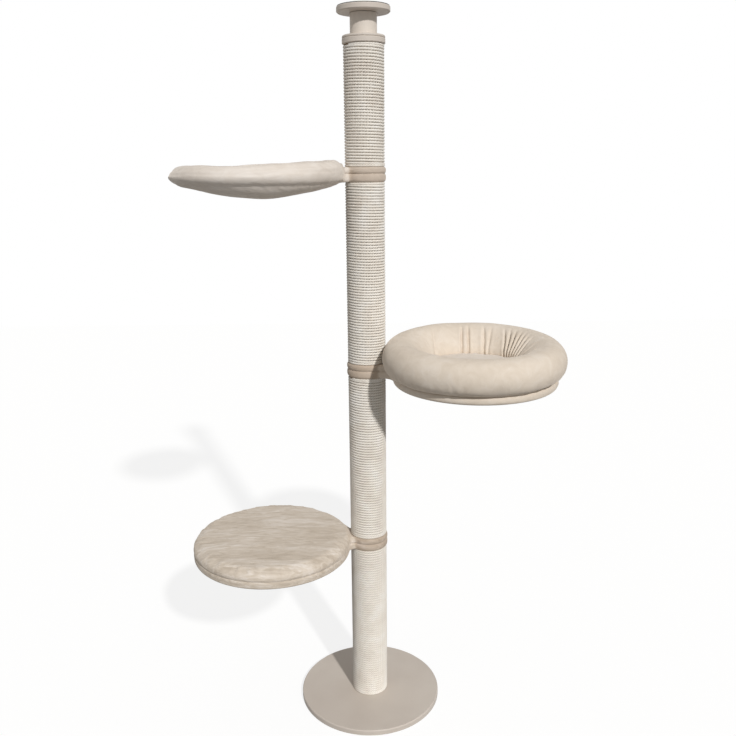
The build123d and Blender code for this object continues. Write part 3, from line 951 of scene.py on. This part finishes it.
def makeHammock():
    s = hammockSet
    rim = s["radius"]
    lower = arcLine((s["underIn"], s["edge"]), s["upper"][0], -5, 11)
    runs = [arcLine(a, b, bow, count) for a, b, (bow, count) in zip(s["upper"], s["upper"][1:], s["upperBow"])]
    upper = np.concatenate([run[:-1] for run in runs[:-1]] + [runs[-1]])
    rings = coverRings(s, lower, upper, len(upper) - 16)
    radii, heights = rim - upper[::-1, 0], upper[::-1, 1]

    def dish(points):
        # a shallow bowl inside, and the rim's own section round it
        away = fromCentre(points, s["reach"])
        floor = heights[0] - s["dish"] * (1 - (away / radii[0]) ** 2)
        return np.where(away < radii[0], floor, np.interp(away, radii, heights))

    # where a ring leaves the disc for the neck, its height follows the dish as it is there
    for ring, height in zip(rings[len(lower) + 8 :], upper[9:, 1]):
        ring[:, 2] += (dish(ring) - height) * (1 - onNeck(ring[:, 0], s["span"]))

    def top(points):
        disc = dish(points)
        return disc + (coverSet["eyeHeight"] - disc) * onNeck(points[:, 0], s["span"])

    def bottom(points):
        # the sling hangs between its far end and the post, with steeper sides at front and back
        edge = rim - s["underIn"]
        along = np.clip(np.abs(points[:, 0] - s["reach"]) / edge, 0, 1)
        chord = np.sqrt(np.maximum(edge**2 - (points[:, 0] - s["reach"]) ** 2, 1))
        side = np.clip(np.abs(points[:, 1]) / chord, 0, 1)
        bowl = s["edge"] - s["bowl"] * (1 - along ** s["bowlPower"]) * (1 - side ** s["sidePower"])
        return bowl * (1 - onNeck(points[:, 0], s["span"]))

    points, faces = coveredShape(rings, bottom, top, 4.5, 4.5)
    points[:, 2] += hammockLift(points)
    mesh = makeMesh("hammockCover", points, faces)
    points = meshPoints(mesh)
    out = meshNormals(mesh)
    away = fromCentre(points, s["reach"])
    onDisc = smoothStep(points[:, 0], 78, 130)
    flat = points * [1, 1, 0]
    outside = smoothStep(away, rim - 32, rim - 22)
    # a long soft crease runs round the rim where its padding ends
    line = 34 + 0.6 * rimLift(points[:, 0]) + 1.6 * latticeNoise(flat, 90, 52)
    push = -s["crease"] * np.exp(-(((points[:, 2] - line) / 4.2) ** 2)) * outside
    # the sling crumples a little where it turns under the rim
    under = np.exp(-(((points[:, 2] + 6) / 11) ** 2)) * smoothStep(away, 150, 190) * (out[:, 2] < 0)
    along, height = np.radians(bearingFrom(points, s["reach"])) * rim, points[:, 2] * 1.6
    slanted = np.stack([along + height, (along - height) * 0.22, 0 * along], 1)
    push += s["wrinkle"] * under * latticeNoise(slanted, 10, 53)
    push += s["soft"] * latticeNoise(points, 80, 54) + s["uneven"] * latticeNoise(points, 30, 55)
    points = points + out * (push * onDisc)[:, None]
    points[:, 2] += s["topWave"] * latticeNoise(flat, 70, 56) * smoothStep(points[:, 2], 30, 55) * onDisc
    setPoints(mesh, clearOfPost(points))
    finishPadded(
        "hammockCover", mesh, "hammock", s, "plushHammock", 0.5,
        "hammock_lining", "hammock_sling", "hammock_rim_foam",
    )


makeHammock()

# floor, light and backdrop
lightSet = {"azimuth": 23.0, "elevation": 35.5, "sun": 2.5, "sunSize": 2.5, "sky": 0.39}
floorSet = {"size": 14.0, "drop": 0.0006, "colour": "f4f3f1", "bounce": "959493", "glow": 1.07, "glowShare": 0.75}


def seenByEye(tree):
    # 1 for what the camera sees, straight or in a reflection, and 0 for light on its way round
    path = addNode(tree, "ShaderNodeLightPath").outputs
    mirrored = mathNode(tree, "MAXIMUM", path["Is Glossy Ray"], path["Is Transmission Ray"])
    return mathNode(tree, "MAXIMUM", path["Is Camera Ray"], mirrored)


half, drop = floorSet["size"] / 2, floorSet["drop"]
floorMesh = bpy.data.meshes.new("floor")
corners = [(x, y, -drop) for x, y in ((-half, -half), (half, -half), (half, half), (-half, half))]
floorMesh.from_pydata(corners, [], [(0, 1, 2, 3)])
floor = bpy.data.objects.new("floor", floorMesh)
bpy.context.scene.collection.objects.link(floor)
floorFinish = bpy.data.materials.new("paleFloor")
floorFinish.use_nodes = True
tree = floorFinish.node_tree
tree.nodes.clear()
seen = seenByEye(tree)
colour = mixNode(tree, seen, tone(floorSet["bounce"]), tone(floorSet["colour"]))
matte = addNode(tree, "ShaderNodeBsdfDiffuse", {"Color": colour}).outputs["BSDF"]
glow = addNode(tree, "ShaderNodeEmission", {"Strength": floorSet["glow"]}).outputs["Emission"]
share = mathNode(tree, "MULTIPLY", seen, floorSet["glowShare"])
mixed = addNode(tree, "ShaderNodeMixShader", {0: share, 1: matte, 2: glow}).outputs["Shader"]
addNode(tree, "ShaderNodeOutputMaterial", {"Surface": mixed})
floorMesh.materials.append(floorFinish)

world = bpy.data.worlds.new("studio")
bpy.context.scene.world = world
world.use_nodes = True
tree = world.node_tree
tree.nodes.clear()
strength = rangeNode(tree, seenByEye(tree), lightSet["sky"], 1.0)
shade = addNode(tree, "ShaderNodeBackground", {"Color": (1, 1, 1, 1), "Strength": strength}).outputs["Background"]
addNode(tree, "ShaderNodeOutputWorld", {"Surface": shade})

sunData = bpy.data.lights.new("keyLight", "SUN")
sunData.energy = lightSet["sun"]
sunData.angle = math.radians(lightSet["sunSize"])
sun = bpy.data.objects.new("keyLight", sunData)
bpy.context.scene.collection.objects.link(sun)
sun.rotation_euler = (math.radians(90 - lightSet["elevation"]), 0, math.radians(lightSet["azimuth"]))

scene = bpy.context.scene
scene.view_settings.view_transform = "Standard"
